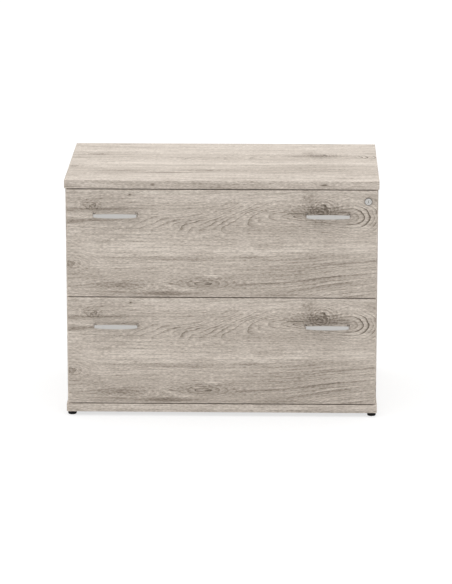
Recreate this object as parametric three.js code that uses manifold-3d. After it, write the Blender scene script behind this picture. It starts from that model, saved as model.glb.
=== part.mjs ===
// Lateral filing cabinet with two wide file drawers, in millimetres, +Z up.
// The cabinet is drawn with its front plane at y = 0 and its back at +Y, then shifted so that the origin
// lies on the floor below the middle of the whole object, handles included.

import * as THREE from 'three';
import { RoundedBoxGeometry } from 'three/addons/geometries/RoundedBoxGeometry.js';
import { mergeVertices } from 'three/addons/utils/BufferGeometryUtils.js';
import Module from 'manifold-3d';

// Carcass
const width = 940;
const depth = 560;
const topThickness = 25;
const baseThickness = 25;
const sideThickness = 18;
const sideSetIn = 2.5;
const edgeRadius = 1.5;
const edgeSteps = 2;
const backThickness = 8;
const backSetIn = 12;
const backGroove = 6;

// Drawer fronts
const frontHeight = 329;
const frontThickness = 18;
const frontGap = 3;
const frontReveal = 2.5;
const frontStandOff = 2;

// Clearances: glued or screwed faces, pieces in grooves and bores, and running pieces
const seat = 0.1;
const fit = 0.3;
const running = 0.4;

// Levelling feet
const footHeight = 13;
const footTopDiameter = 27;
const footTreadDiameter = 21;
const footRim = 2.5;
const footSetIn = 15.5;
const footSetBack = 25;
const footStemDiameter = 8;
const footStemLength = 15;
const footSides = 24;

// Telescopic runners
const runnerHeight = 45;
const runnerThickness = 12.7;
const runnerGauge = 1.2;
const runnerSetBack = 16;
const runnerRise = 80;
const runnerOpenEdge = 3;

// Drawer boxes and file rails
const boxWall = 12;
const boxRise = 11;
const boxTail = 12;
const boxRearSpace = 42;
const bottomThickness = 8;
const bottomRise = 10;
const bottomGroove = 6;
const fileSpan = 387;
const railThickness = 3;
const railHeight = 16;
const railSlotDepth = 14;
const railEndSetIn = 1;

// Bow handles and their screws
const handleSetIn = 147.5;
const upperHandleDrop = 76;
const lowerHandleDrop = 85;
const handleHoleSpacing = 128;
const handleReach = 28;
const handleMiddleHeight = 13;
const handleEndHeight = 9.5;
const handleFootThickness = 9;
const handleGripThickness = 5;
const handleSquareness = 2.8;
const handleSections = 20;
const handleSectionSides = 8;
const handleSlopeStep = 0.01;
const screwDiameter = 4;
const screwEngagement = 7;
const screwHeadDiameter = 8;
const screwHeadHeight = 2.6;
const screwHeadDepth = 3.2;
const screwSides = 10;
const holeSides = 12;

// Cylinder lock in the upper front
const lockDrop = 33.3;
const lockFlangeDiameter = 23;
const lockFlangeHeight = 2.5;
const lockFlangeChamfer = 0.8;
const lockBarrelDiameter = 16;
const lockBarrelPastFront = 5;
const lockPlugDiameter = 12.6;
const lockNutAcross = 20;
const lockNutThickness = 4;
const lockNutSideSpace = 2;
const lockBoxSpace = 10;
const keywayWidth = 1.8;
const keywayHeight = 8;
const keywayDepth = 10;
const lockSides = 24;
const drivePinDiameter = 4;
const drivePinThrow = 6;
const drivePinLength = 6;
const driveDiscThickness = 2;
const driveRestAngle = -Math.PI / 4;

// Lock bar in a groove of the right side panel, with its actuator, tabs, guides and drawer catches
const barWidth = 10;
const barThickness = 7;
const barRecess = 0.6;
const barSetBack = 4.4;
const barTopMargin = 8;
const barBottomMargin = 10;
const actuatorThickness = 2;
const actuatorSetBack = 1;
const actuatorWall = 3;
const actuatorSlack = 0.5;
const tabReach = 10;
const tabHeight = 8;
const tabMargin = 1;
const catchRise = 200;
const catchReach = 10;
const catchDepth = 8;
const catchHeight = 10;
const catchSpace = 1.5;
const catchBehindTab = 0.6;
const guideThickness = 1.2;
const guideHeight = 24;
const guideLap = 3;
const guideBelowTab = 14;

// Places worked out from the sizes above
const openingHeight = 2 * frontHeight + 3 * frontGap;
const baseTop = footHeight + baseThickness;
const topUnderside = baseTop + openingHeight;
const height = topUnderside + topThickness;
const sideOuter = width / 2 - sideSetIn;
const sideInner = sideOuter - sideThickness;
const sideFront = frontThickness + frontStandOff;
const frontHalf = sideOuter - frontReveal;
const handleX = frontHalf - handleSetIn;
const backFront = depth - backSetIn - backThickness;
const lowerFrontBottom = baseTop + frontGap;
const upperFrontBottom = lowerFrontBottom + frontHeight + frontGap;

const lockX = sideInner - lockNutAcross / 2 - lockNutSideSpace;
const lockHeight = frontHeight - lockDrop;
const lockNutCorner = lockNutAcross / Math.sqrt(3);
const lockBarrelEnd = frontThickness + lockBarrelPastFront;
const drivePinFront = lockBarrelEnd + fit + driveDiscThickness;

const boxHalf = sideInner - runnerThickness;
const boxFront = frontThickness + seat;
const boxBack = backFront - boxRearSpace;
const boxTop = lockHeight - lockNutCorner - lockBoxSpace;
const boxInnerHalf = boxHalf - boxWall;
const runnerFront = sideFront + runnerSetBack;
const runnerLength = boxBack - boxTail - runnerFront;
const railMiddle = (boxFront + boxBack) / 2;

const barFront = sideFront + barSetBack;
const barInner = sideInner + barRecess;
const tabFront = barFront + tabMargin;
const tabBack = barFront + barWidth - tabMargin;
const catchBottom = boxRise + catchRise;
const actuatorHeight = lockHeight + drivePinThrow * Math.sin(driveRestAngle);

const wasm = await Module();
wasm.setup();

// Materials
function finish(color, roughness, metalness) {
  return new THREE.MeshStandardMaterial({ color, roughness, metalness });
}
const oakPrint = finish(0xb6aca0, 0.6, 0);
const boxBoard = finish(0xc9c9c6, 0.65, 0);
const satinSilver = finish(0xbebebb, 0.35, 1);
const lockChrome = finish(0xc4c4c4, 0.2, 1);
const zincSteel = finish(0xa9adb0, 0.4, 1);
const blackPlastic = finish(0x141312, 0.55, 0);

// Closed solids for joining and cutting, and the way back to a geometry. Triangles that shrink to a line on
// a lathe's axis are left out.
function toSolid(geometry) {
  const bare = geometry.clone();
  bare.deleteAttribute('normal');
  bare.deleteAttribute('uv');
  const merged = mergeVertices(bare);
  const triangles = [];
  for (let i = 0; i < merged.index.count; i += 3) {
    const corners = [0, 1, 2].map((corner) => merged.index.getX(i + corner));
    if (new Set(corners).size === 3) triangles.push(...corners);
  }
  return new wasm.Manifold(new wasm.Mesh({
    numProp: 3,
    vertProperties: new Float32Array(merged.attributes.position.array),
    triVerts: new Uint32Array(triangles),
  }));
}

function toGeometry(solid) {
  const mesh = solid.getMesh();
  const geometry = new THREE.BufferGeometry();
  geometry.setAttribute('position', new THREE.BufferAttribute(mesh.vertProperties, 3));
  geometry.setIndex(new THREE.BufferAttribute(mesh.triVerts, 1));
  geometry.computeVertexNormals();
  return geometry;
}

function cut(geometry, tools) {
  return toGeometry(tools.reduce((solid, tool) => solid.subtract(toSolid(tool)), toSolid(geometry)));
}

// A block between two corners given as [x, y, z]
function block(low, high) {
  const size = high.map((value, axis) => value - low[axis]);
  const geometry = new THREE.BoxGeometry(...size);
  geometry.translate(...low.map((value, axis) => value + size[axis] / 2));
  return geometry;
}

// A board between two corners, with its edges rounded all round
function board(low, high) {
  const size = high.map((value, axis) => value - low[axis]);
  const geometry = new RoundedBoxGeometry(...size, edgeSteps, edgeRadius);
  geometry.translate(...low.map((value, axis) => value + size[axis] / 2));
  return geometry;
}

function outline(points) {
  return new THREE.Shape(points.map(([x, y]) => new THREE.Vector2(x, y)));
}

// A section in X and Z carried along Y from front to back
function alongDepth(shape, front, back, curveSegments) {
  const geometry = new THREE.ExtrudeGeometry(shape, {
    depth: back - front,
    bevelEnabled: false,
    curveSegments,
  });
  geometry.rotateX(Math.PI / 2);
  geometry.translate(0, back, 0);
  return geometry;
}

// A turned piece: [radius, place] points spun about Y, as a lathe turns them
function turned(points, sides) {
  const profile = points.map(([radius, place]) => new THREE.Vector2(radius, place));
  return toGeometry(toSolid(new THREE.LatheGeometry(profile, sides)));
}

function add(group, name, geometry, material, place = [0, 0, 0]) {
  const mesh = new THREE.Mesh(geometry, material);
  mesh.name = name;
  mesh.position.set(...place);
  group.add(mesh);
}

const cabinet = new THREE.Group();

// Carcass: top and base boards, grooved sides between them, and the back in the grooves
function sideProfile(side, grooves) {
  const points = [[sideOuter, sideFront], [sideOuter, depth], [sideInner, depth]];
  for (const { front, back, deep } of grooves) {
    points.push([sideInner, back], [sideInner + deep, back], [sideInner + deep, front], [sideInner, front]);
  }
  points.push([sideInner, sideFront]);
  return outline(points.map(([x, y]) => [side * x, y]));
}

function sidePanel(side, grooves) {
  const panel = new THREE.ExtrudeGeometry(sideProfile(side, grooves), {
    depth: openingHeight - 2 * seat,
    bevelEnabled: false,
  });
  panel.translate(0, 0, baseTop + seat);
  return panel;
}

const footPlaces = [];
for (const [end, y] of [['front', footSetBack], ['rear', depth - footSetBack]]) {
  for (const [hand, side] of [['left', -1], ['right', 1]]) {
    footPlaces.push({ name: `${end}_${hand}_foot`, x: side * (width / 2 - footSetIn), y });
  }
}

function buildCarcass() {
  const carcass = new THREE.Group();
  const top = board([-width / 2, 0, topUnderside], [width / 2, depth, height]);
  add(carcass, 'top_panel', top, oakPrint);

  const stemHoles = footPlaces.map(({ x, y }) => {
    const radius = footStemDiameter / 2 + fit;
    const deep = footHeight + footStemLength + fit;
    const hole = new THREE.CylinderGeometry(radius, radius, deep, holeSides);
    hole.rotateX(Math.PI / 2);
    hole.translate(x, y, deep / 2);
    return hole;
  });
  const base = board([-width / 2, 0, footHeight], [width / 2, depth, baseTop]);
  add(carcass, 'base_panel', cut(base, stemHoles), oakPrint);

  const forBack = { front: backFront - fit, back: backFront + backThickness + fit, deep: backGroove };
  const forBar = {
    front: barFront - running,
    back: barFront + barWidth + running,
    deep: barRecess + barThickness + running,
  };
  add(carcass, 'left_side_panel', sidePanel(-1, [forBack]), oakPrint);
  add(carcass, 'right_side_panel', sidePanel(1, [forBack, forBar]), oakPrint);

  const backHalf = sideInner + backGroove - fit;
  const back = block(
    [-backHalf, backFront, baseTop + seat],
    [backHalf, backFront + backThickness, topUnderside - seat]);
  add(carcass, 'back_panel', back, oakPrint);
  return carcass;
}

// Levelling foot: a tapered round tread with a threaded stem that screws into the base
function levellingFoot() {
  const tread = footTreadDiameter / 2;
  const rim = footTopDiameter / 2;
  const padTop = footHeight - fit;
  const stem = footStemDiameter / 2;
  const foot = turned([
    [0, 0],
    [tread - footRim, 0],
    [tread, footRim / 2],
    [rim, padTop - footRim],
    [rim, padTop],
    [stem, padTop],
    [stem, footHeight + footStemLength],
    [0, footHeight + footStemLength],
  ], footSides);
  foot.rotateX(Math.PI / 2);
  return foot;
}

function buildFeet() {
  const feet = new THREE.Group();
  for (const { name, x, y } of footPlaces) {
    add(feet, name, levellingFoot(), blackPlastic, [x, y, 0]);
  }
  return feet;
}

// Runner member: a channel of sheet steel whose web stands at one edge and whose flanges reach the other,
// both measured from the side panel towards the drawer
function channel(side, web, open, half) {
  const inside = web + Math.sign(open - web) * runnerGauge;
  const lip = half - runnerGauge;
  const points = [
    [web, -half], [open, -half], [open, -lip], [inside, -lip],
    [inside, lip], [open, lip], [open, half], [web, half],
  ];
  const shape = outline(points.map(([across, z]) => [side * (sideInner - across), z]));
  return alongDepth(shape, runnerFront, runnerFront + runnerLength);
}

function buildRunners(name, frontBottom) {
  const runners = new THREE.Group();
  runners.position.z = frontBottom + boxRise + runnerRise;
  const nest = runnerGauge + running;
  const outerHalf = runnerHeight / 2;
  const middleWeb = seat + nest;
  const drawerFace = runnerThickness - seat;
  const middleOpen = drawerFace - nest;
  for (const [hand, side] of [['left', -1], ['right', 1]]) {
    const runner = `${name}_${hand}_runner`;
    const outer = channel(side, seat, runnerThickness - runnerOpenEdge, outerHalf);
    add(runners, `${runner}_outer`, outer, zincSteel);
    const middle = channel(side, middleWeb, middleOpen, outerHalf - nest);
    add(runners, `${runner}_middle`, middle, zincSteel);
    const inner = channel(side, drawerFace, middleWeb + nest, outerHalf - 2 * nest);
    add(runners, `${runner}_inner`, inner, zincSteel);
  }
  return runners;
}

// Bow handle, from foot to foot: the centre line is half a superellipse in plan, the height swells towards
// the middle and the thickness shrinks from the feet to the grip
function rounded(value) {
  return Math.sign(value) * Math.abs(value) ** (2 / handleSquareness);
}

function bowHandle() {
  const halfSpan = handleHoleSpacing / 2;
  const bow = handleReach - handleGripThickness / 2 - seat;
  const centre = (angle) => new THREE.Vector2(
    halfSpan * rounded(Math.cos(angle)),
    -seat - bow * rounded(Math.sin(angle)));
  const step = Math.PI / handleSections;
  const widest = rounded(Math.cos(Math.PI / handleSectionSides));
  const positions = [];
  for (let i = 0; i <= handleSections; i += 1) {
    const place = centre(i * step);
    const slope = centre((i + handleSlopeStep) * step).sub(centre((i - handleSlopeStep) * step)).normalize();
    const toMiddle = 1 - (place.x / halfSpan) ** 2;
    const toFoot = (1 + (place.y + seat) / bow) ** 2;
    const half = (handleEndHeight + (handleMiddleHeight - handleEndHeight) * toMiddle) / 2;
    const thick = (handleGripThickness + (handleFootThickness - handleGripThickness) * toFoot) / 2;
    for (let j = 0; j < handleSectionSides; j += 1) {
      const turn = 2 * Math.PI * (j + 0.5) / handleSectionSides;
      const outward = thick * rounded(Math.cos(turn)) / widest;
      const up = half * rounded(Math.sin(turn)) / widest;
      positions.push(place.x - slope.y * outward, place.y + slope.x * outward, up);
    }
  }
  const index = [];
  for (let i = 0; i < handleSections; i += 1) {
    for (let j = 0; j < handleSectionSides; j += 1) {
      const near = i * handleSectionSides + j;
      const next = i * handleSectionSides + (j + 1) % handleSectionSides;
      index.push(near, next, near + handleSectionSides);
      index.push(next, next + handleSectionSides, near + handleSectionSides);
    }
  }
  const last = handleSections * handleSectionSides;
  for (let j = 1; j < handleSectionSides - 1; j += 1) {
    index.push(0, j + 1, j);
    index.push(last, last + j, last + j + 1);
  }
  const geometry = new THREE.BufferGeometry();
  geometry.setAttribute('position', new THREE.Float32BufferAttribute(positions, 3));
  geometry.setIndex(index);
  return geometry;
}

function handleScrew() {
  const headSeat = frontThickness - screwHeadDepth + seat;
  return turned([
    [0, -seat - screwEngagement],
    [screwDiameter / 2, -seat - screwEngagement],
    [screwDiameter / 2, headSeat],
    [screwHeadDiameter / 2, headSeat],
    [screwHeadDiameter / 2, headSeat + screwHeadHeight],
    [0, headSeat + screwHeadHeight],
  ], screwSides);
}

function screwHole() {
  const past = frontThickness + screwHeadDepth;
  const tip = -seat - screwEngagement - fit;
  const shank = screwDiameter / 2 + fit;
  const head = screwHeadDiameter / 2 + fit;
  const headSeat = frontThickness - screwHeadDepth;
  return turned([
    [0, tip],
    [shank, tip],
    [shank, headSeat],
    [head, headSeat],
    [head, past],
    [0, past],
  ], holeSides);
}

// Drawer: front, box of four walls with a grooved-in bottom, file rails, handles, screws and lock catch
function buildDrawer(name, frontBottom, handleDrop, withLock) {
  const drawer = new THREE.Group();
  drawer.position.z = frontBottom;
  const handleHeight = frontHeight - handleDrop;
  const hands = [['left', -1], ['right', 1]];
  const screwPlaces = [];
  for (const [hand, side] of hands) {
    for (const [end, toward] of [['left', -1], ['right', 1]]) {
      const x = side * handleX + toward * handleHoleSpacing / 2;
      screwPlaces.push({ name: `${name}_${hand}_handle_${end}_screw`, place: [x, 0, handleHeight] });
    }
  }

  const holes = screwPlaces.map(({ place }) => screwHole().translate(...place));
  if (withLock) holes.push(lockHole());
  const front = board([-frontHalf, 0, 0], [frontHalf, frontThickness, frontHeight]);
  add(drawer, `${name}_drawer_front`, cut(front, holes), oakPrint);

  const blindHoles = [-1, 1].map((side) => screwHole().translate(side * handleHoleSpacing / 2, 0, 0));
  const handle = cut(bowHandle(), blindHoles);
  for (const [hand, side] of hands) {
    add(drawer, `${name}_${hand}_handle`, handle, satinSilver, [side * handleX, 0, handleHeight]);
  }
  for (const screw of screwPlaces) {
    add(drawer, screw.name, handleScrew(), zincSteel, screw.place);
  }

  const grooveLow = boxRise + bottomRise;
  const grooveHigh = grooveLow + bottomThickness + 2 * fit;
  const grooveHalf = boxInnerHalf + bottomGroove;
  const grooveFront = boxFront + boxWall - bottomGroove;
  const grooveBack = boxBack - boxWall + bottomGroove;
  const rails = [['front', railMiddle - fileSpan / 2], ['rear', railMiddle + fileSpan / 2]];
  const slotFloor = boxTop - railSlotDepth;
  const slotHalf = railThickness / 2 + fit;
  for (const [hand, side] of hands) {
    const low = side < 0 ? -boxHalf : boxInnerHalf;
    const wall = block([low, boxFront, boxRise], [low + boxWall, boxBack, boxTop]);
    const groove = block([-grooveHalf, 0, grooveLow], [grooveHalf, depth, grooveHigh]);
    const slots = rails.map(([, y]) => block(
      [-width, y - slotHalf, slotFloor],
      [width, y + slotHalf, height]));
    add(drawer, `${name}_drawer_${hand}_wall`, cut(wall, [groove, ...slots]), boxBoard);
  }
  const between = boxInnerHalf - seat;
  const innerFront = block([-between, boxFront, boxRise], [between, boxFront + boxWall, boxTop]);
  const frontGroove = block([-width, grooveFront, grooveLow], [width, depth, grooveHigh]);
  add(drawer, `${name}_drawer_inner_front`, cut(innerFront, [frontGroove]), boxBoard);
  const backWall = block([-between, boxBack - boxWall, boxRise], [between, boxBack, boxTop]);
  const backGrooveTool = block([-width, 0, grooveLow], [width, grooveBack, grooveHigh]);
  add(drawer, `${name}_drawer_back_wall`, cut(backWall, [backGrooveTool]), boxBoard);
  const bottom = block(
    [-grooveHalf + fit, grooveFront + fit, grooveLow + fit],
    [grooveHalf - fit, grooveBack - fit, grooveHigh - fit]);
  add(drawer, `${name}_drawer_bottom`, bottom, boxBoard);

  const railHalf = boxHalf - railEndSetIn;
  for (const [end, y] of rails) {
    const rail = block(
      [-railHalf, y - railThickness / 2, slotFloor + seat],
      [railHalf, y + railThickness / 2, slotFloor + seat + railHeight]);
    add(drawer, `${name}_${end}_file_rail`, rail, zincSteel);
  }

  const lockCatch = block(
    [boxHalf + seat, tabBack + catchBehindTab, catchBottom],
    [boxHalf + seat + catchReach, tabBack + catchBehindTab + catchDepth, catchBottom + catchHeight]);
  add(drawer, `${name}_lock_catch`, lockCatch, zincSteel);
  return drawer;
}

// Cylinder lock: flanged housing through the front, hexagon nut behind it, and the turning plug whose
// drive pin reaches into the actuator slot
function lockHole() {
  const radius = lockBarrelDiameter / 2 + fit;
  const hole = new THREE.CylinderGeometry(radius, radius, 4 * frontThickness, lockSides);
  return hole.translate(lockX, 0, lockHeight);
}

function buildLock() {
  const lock = new THREE.Group();
  lock.position.z = upperFrontBottom;
  const axis = [lockX, 0, lockHeight];
  const flange = lockFlangeDiameter / 2;
  const barrel = lockBarrelDiameter / 2;
  const plug = lockPlugDiameter / 2;
  const bore = plug + fit;
  const housing = turned([
    [bore, -lockFlangeHeight],
    [flange - lockFlangeChamfer, -lockFlangeHeight],
    [flange, -lockFlangeHeight + lockFlangeChamfer],
    [flange, -seat],
    [barrel, -seat],
    [barrel, lockBarrelEnd],
    [bore, lockBarrelEnd],
    [bore, -lockFlangeHeight],
  ], lockSides);
  add(lock, 'lock_housing', housing, lockChrome, axis);

  const corners = Array.from({ length: 6 }, (_, i) => Math.PI / 6 + i * Math.PI / 3);
  const hexagon = outline(corners.map((a) => [lockNutCorner * Math.cos(a), lockNutCorner * Math.sin(a)]));
  hexagon.holes.push(new THREE.Path().absarc(0, 0, barrel + fit, 0, 2 * Math.PI, true));
  const nutFront = frontThickness + seat;
  const nut = alongDepth(hexagon, nutFront, nutFront + lockNutThickness, lockSides / 2);
  add(lock, 'lock_nut', nut, zincSteel, axis);

  const disc = drivePinThrow + drivePinDiameter / 2;
  const plugBody = turned([
    [0, -lockFlangeHeight],
    [plug, -lockFlangeHeight],
    [plug, lockBarrelEnd + fit],
    [disc, lockBarrelEnd + fit],
    [disc, drivePinFront],
    [0, drivePinFront],
  ], lockSides);
  const pin = new THREE.CylinderGeometry(
    drivePinDiameter / 2, drivePinDiameter / 2, drivePinLength + driveDiscThickness, holeSides);
  pin.translate(
    drivePinThrow * Math.cos(driveRestAngle),
    drivePinFront + (drivePinLength - driveDiscThickness) / 2,
    drivePinThrow * Math.sin(driveRestAngle));
  const keyway = block(
    [-keywayWidth / 2, -lockFlangeHeight - keywayDepth, -keywayHeight / 2],
    [keywayWidth / 2, -lockFlangeHeight + keywayDepth, keywayHeight / 2]);
  const plugSolid = toSolid(plugBody).add(toSolid(pin)).subtract(toSolid(keyway));
  add(lock, 'lock_plug', toGeometry(plugSolid), lockChrome, axis);

  const pinSlack = drivePinDiameter / 2 + actuatorSlack;
  const slotLeft = lockX + drivePinThrow * Math.cos(driveRestAngle) - pinSlack;
  const slotRight = lockX + drivePinThrow + pinSlack;
  const actuatorFront = drivePinFront + actuatorSetBack;
  const actuatorBack = actuatorFront + actuatorThickness;
  const plate = block(
    [slotLeft - actuatorWall, actuatorFront, actuatorHeight - pinSlack - actuatorWall],
    [barInner - seat, actuatorBack, actuatorHeight + pinSlack + actuatorWall]);
  const slot = block(
    [slotLeft, 0, actuatorHeight - pinSlack],
    [slotRight, depth, actuatorHeight + pinSlack]);
  add(lock, 'lock_actuator', cut(plate, [slot]), zincSteel);
  return lock;
}

// Lock bar: slides up in its groove and puts a tab in front of each drawer's catch
function buildLockBar() {
  const lockBar = new THREE.Group();
  const tabTop = catchBottom - catchSpace;
  const tabBottom = tabTop - tabHeight;
  const guideTop = tabBottom - guideBelowTab;
  const guideBottom = guideTop - guideHeight;
  const bar = block(
    [barInner, barFront, lowerFrontBottom + guideBottom - barBottomMargin],
    [barInner + barThickness, barFront + barWidth, upperFrontBottom + actuatorHeight + barTopMargin]);
  add(lockBar, 'lock_bar', bar, zincSteel);
  const tab = block(
    [barInner - seat - tabReach, tabFront, tabBottom],
    [barInner - seat, tabBack, tabTop]);
  const guide = block(
    [sideInner - seat - guideThickness, barFront - guideLap, guideBottom],
    [sideInner - seat, barFront + barWidth + guideLap, guideTop]);
  for (const [name, frontBottom] of [['lower', lowerFrontBottom], ['upper', upperFrontBottom]]) {
    add(lockBar, `${name}_lock_tab`, tab, zincSteel, [0, 0, frontBottom]);
    add(lockBar, `${name}_bar_guide`, guide, zincSteel, [0, 0, frontBottom]);
  }
  return lockBar;
}

cabinet.add(buildCarcass(), buildFeet());
for (const [name, frontBottom, handleDrop] of [
  ['upper', upperFrontBottom, upperHandleDrop],
  ['lower', lowerFrontBottom, lowerHandleDrop],
]) {
  cabinet.add(buildRunners(name, frontBottom), buildDrawer(name, frontBottom, handleDrop, name === 'upper'));
}
cabinet.add(buildLock(), buildLockBar());
cabinet.position.y = (handleReach - depth) / 2;

const part = new THREE.Group();
part.add(cabinet);
export default part;
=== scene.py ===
"""Looks of a lateral filing cabinet in grey oak print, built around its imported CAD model, in metres."""

import math

import bmesh
import bpy
import numpy as np
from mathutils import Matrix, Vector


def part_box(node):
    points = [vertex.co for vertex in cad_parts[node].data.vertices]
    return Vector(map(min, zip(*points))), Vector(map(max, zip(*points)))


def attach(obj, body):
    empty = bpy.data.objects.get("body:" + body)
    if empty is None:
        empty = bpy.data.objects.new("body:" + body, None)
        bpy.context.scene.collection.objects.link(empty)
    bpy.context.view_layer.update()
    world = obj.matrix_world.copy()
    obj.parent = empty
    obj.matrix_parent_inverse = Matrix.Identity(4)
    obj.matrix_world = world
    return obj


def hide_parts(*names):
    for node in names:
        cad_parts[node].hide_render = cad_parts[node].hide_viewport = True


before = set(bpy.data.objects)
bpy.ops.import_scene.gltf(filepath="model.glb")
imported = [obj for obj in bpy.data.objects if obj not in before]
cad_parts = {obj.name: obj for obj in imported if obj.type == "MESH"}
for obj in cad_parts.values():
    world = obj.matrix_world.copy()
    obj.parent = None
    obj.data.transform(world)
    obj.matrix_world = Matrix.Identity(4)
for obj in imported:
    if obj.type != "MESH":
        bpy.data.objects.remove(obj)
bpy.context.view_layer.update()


# Levelling feet: black moulded plastic glides that carry the cabinet's weight on the floor.
# Each is one moulding with its threaded stem, which screws up into the base panel; the fluted rim
# lets it be turned by hand.
MM = 0.001
FEET = ("front_left_foot", "front_right_foot", "rear_left_foot", "rear_right_foot")
FOOT_TREAD_RADIUS = 11.8 * MM
FOOT_WAIST_RADIUS = 13.0 * MM
FOOT_WAIST_HEIGHT = 1.2 * MM
FOOT_RIM_HEIGHT = 3.0 * MM
FOOT_ROUNDINGS = (0.8 * MM, 1.2 * MM, 0.6 * MM)
FOOT_FLUTES = 30
FOOT_FLUTE_DEPTH = 0.35 * MM
FOOT_FLUTED_BAND = 0.5 * MM
FOOT_PLAY = 0.3 * MM
FOOT_COLUMNS = 120
STEM_RADIUS = 3.95 * MM
STEM_SHOULDER = 0.2 * MM
STEM_THREAD_DEPTH = 0.5 * MM
STEM_PITCH = 1.25 * MM
STEM_ROWS_A_PITCH = 4
SHARP_DEGREES = 35.0
PLASTIC_BLACK = (0.005, 0.0047, 0.0045, 1.0)
PLASTIC_SCUFFED = (0.020, 0.019, 0.018, 1.0)


def grid_faces(rows, columns, ring=False):
    """Quads between neighbouring rows of a grid whose columns run round and close.
    In a ring the last row is joined to the first as well."""
    row = np.arange(rows if ring else rows - 1)[:, None]
    column = np.arange(columns)[None, :]
    onward = (column + 1) % columns
    here = row * columns
    beyond = (row + 1) % rows * columns
    corners = [here + column, here + onward, beyond + onward, beyond + column]
    return np.stack(corners, axis=-1).reshape(-1, 4)


def skin_mesh(name, grids, ring=False):
    """A mesh of closed skins. Each grid is an array of rows of points; its rows are joined by quads, and
    its first and last rows are closed by one face each, or joined to each other in a ring."""
    points = []
    faces = []
    start = 0
    for grid in grids:
        rows, columns = grid.shape[:2]
        points.append(grid.reshape(-1, 3))
        faces += (grid_faces(rows, columns, ring) + start).tolist()
        if not ring:
            loop = np.arange(columns) + start
            faces.append(loop[::-1].tolist())
            faces.append((loop + (rows - 1) * columns).tolist())
        start += rows * columns
    mesh = bpy.data.meshes.new(name)
    mesh.from_pydata(np.concatenate(points).tolist(), [], faces)
    shell = bmesh.new()
    shell.from_mesh(mesh)
    bmesh.ops.recalc_face_normals(shell, faces=shell.faces)
    shell.to_mesh(mesh)
    shell.free()
    mesh.shade_smooth()
    mesh.set_sharp_from_angle(angle=math.radians(SHARP_DEGREES))
    return mesh


def new_object(name, data):
    """An object for a mesh, lamp or camera, linked into the scene."""
    made = bpy.data.objects.new(name, data)
    bpy.context.scene.collection.objects.link(made)
    return made


def new_piece(mesh, body, slot, *replaced, finishes):
    """An object at the origin for a finished mesh; it rides on a body and stands for CAD nodes."""
    piece = new_object(mesh.name, mesh)
    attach(piece, body)
    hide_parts(*replaced)
    for material in finishes:
        mesh.materials.append(material)
    return piece


def middle_of(node, *axes):
    """The middle of a CAD node's box on the named axes."""
    low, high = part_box(node)
    return [(low[axis] + high[axis]) / 2 for axis in axes]


def full_turn(columns):
    """Angles spread evenly round a circle."""
    return np.linspace(0.0, 2 * np.pi, columns, endpoint=False)


def rounded_profile(corners, radii, steps=6):
    """A profile of straight stretches whose corners are rounded: at each corner a quadratic arc runs from
    the point one radius before it to the point one radius after it."""
    corners = np.array(corners, float)
    points = [corners[:1]]
    share = np.linspace(0.0, 1.0, steps + 1)[:, None]
    for before, corner, after, radius in zip(corners[:-2], corners[1:-1], corners[2:], radii):
        enter = corner + (before - corner) / np.linalg.norm(before - corner) * radius
        leave = corner + (after - corner) / np.linalg.norm(after - corner) * radius
        points.append((1 - share) ** 2 * enter + 2 * share * (1 - share) * corner + share ** 2 * leave)
    points.append(corners[-1:])
    return np.concatenate(points)


def foot_grid(centre, height, rim_radius, stem_top):
    """Foot and stem turned about a vertical axis: the radius follows the profile with height, the rim is
    fluted by a cosine round the axis, and the stem by a triangle wave that climbs one pitch a turn."""
    pad = rounded_profile(
        [(FOOT_TREAD_RADIUS, 0.0), (FOOT_WAIST_RADIUS, FOOT_WAIST_HEIGHT),
         (rim_radius, height - FOOT_RIM_HEIGHT), (rim_radius, height), (STEM_RADIUS, height)],
        FOOT_ROUNDINGS)
    stem_heights = np.arange(height + STEM_SHOULDER, stem_top, STEM_PITCH / STEM_ROWS_A_PITCH)
    stem = np.stack([np.full_like(stem_heights, STEM_RADIUS), stem_heights], 1)
    profile = np.concatenate([pad, stem])
    radius = profile[:, :1]
    rise = profile[:, 1:]
    turn = full_turn(FOOT_COLUMNS)
    on_rim = (radius > rim_radius - FOOT_FLUTED_BAND) & (rise < height)
    fluted = radius - on_rim * FOOT_FLUTE_DEPTH * (0.5 + 0.5 * np.cos(FOOT_FLUTES * turn))
    climb = np.mod(rise / STEM_PITCH - turn / (2 * np.pi), 1.0)
    threaded = fluted - (rise > height) * STEM_THREAD_DEPTH * np.abs(2 * climb - 1)
    x = centre[0] + threaded * np.cos(turn)
    y = centre[1] + threaded * np.sin(turn)
    z = np.broadcast_to(rise, x.shape)
    return np.stack([x, y, z], axis=-1)


def add_node(tree, kind, sockets=None, **settings):
    """Adds a shader node. Settings are its properties; sockets are its inputs by name or number, each
    given a plain value or the output of another node."""
    node = tree.nodes.new(kind)
    for key, value in settings.items():
        setattr(node, key, value)
    for key, value in (sockets or {}).items():
        if isinstance(value, bpy.types.NodeSocket):
            tree.links.new(value, node.inputs[key])
        else:
            node.inputs[key].default_value = value
    return node


def use_group(tree, group, sockets):
    """The outputs of a node group placed in a tree with its own values."""
    return add_node(tree, "ShaderNodeGroup", sockets, node_tree=group).outputs


def calc(tree, operation, *values, clamp=False):
    """The output of a Math node working on plain numbers or other outputs."""
    sockets = dict(enumerate(values))
    return add_node(tree, "ShaderNodeMath", sockets, operation=operation, use_clamp=clamp).outputs[0]


def smooth_step(tree, value, start, end, first=0.0, last=1.0):
    """Goes smoothly from first to last while the value goes from start to end."""
    sockets = {0: value, 1: start, 2: end, 3: first, 4: last}
    return add_node(tree, "ShaderNodeMapRange", sockets, interpolation_type="SMOOTHSTEP").outputs[0]


def cloud(tree, vector, scale, detail, roughness, dimensions="3D"):
    """A noise value of about 0 to 1, centred on 0.5."""
    sockets = {"Vector": vector, "Scale": scale, "Detail": detail, "Roughness": roughness}
    return add_node(tree, "ShaderNodeTexNoise", sockets, noise_dimensions=dimensions).outputs[0]


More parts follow.
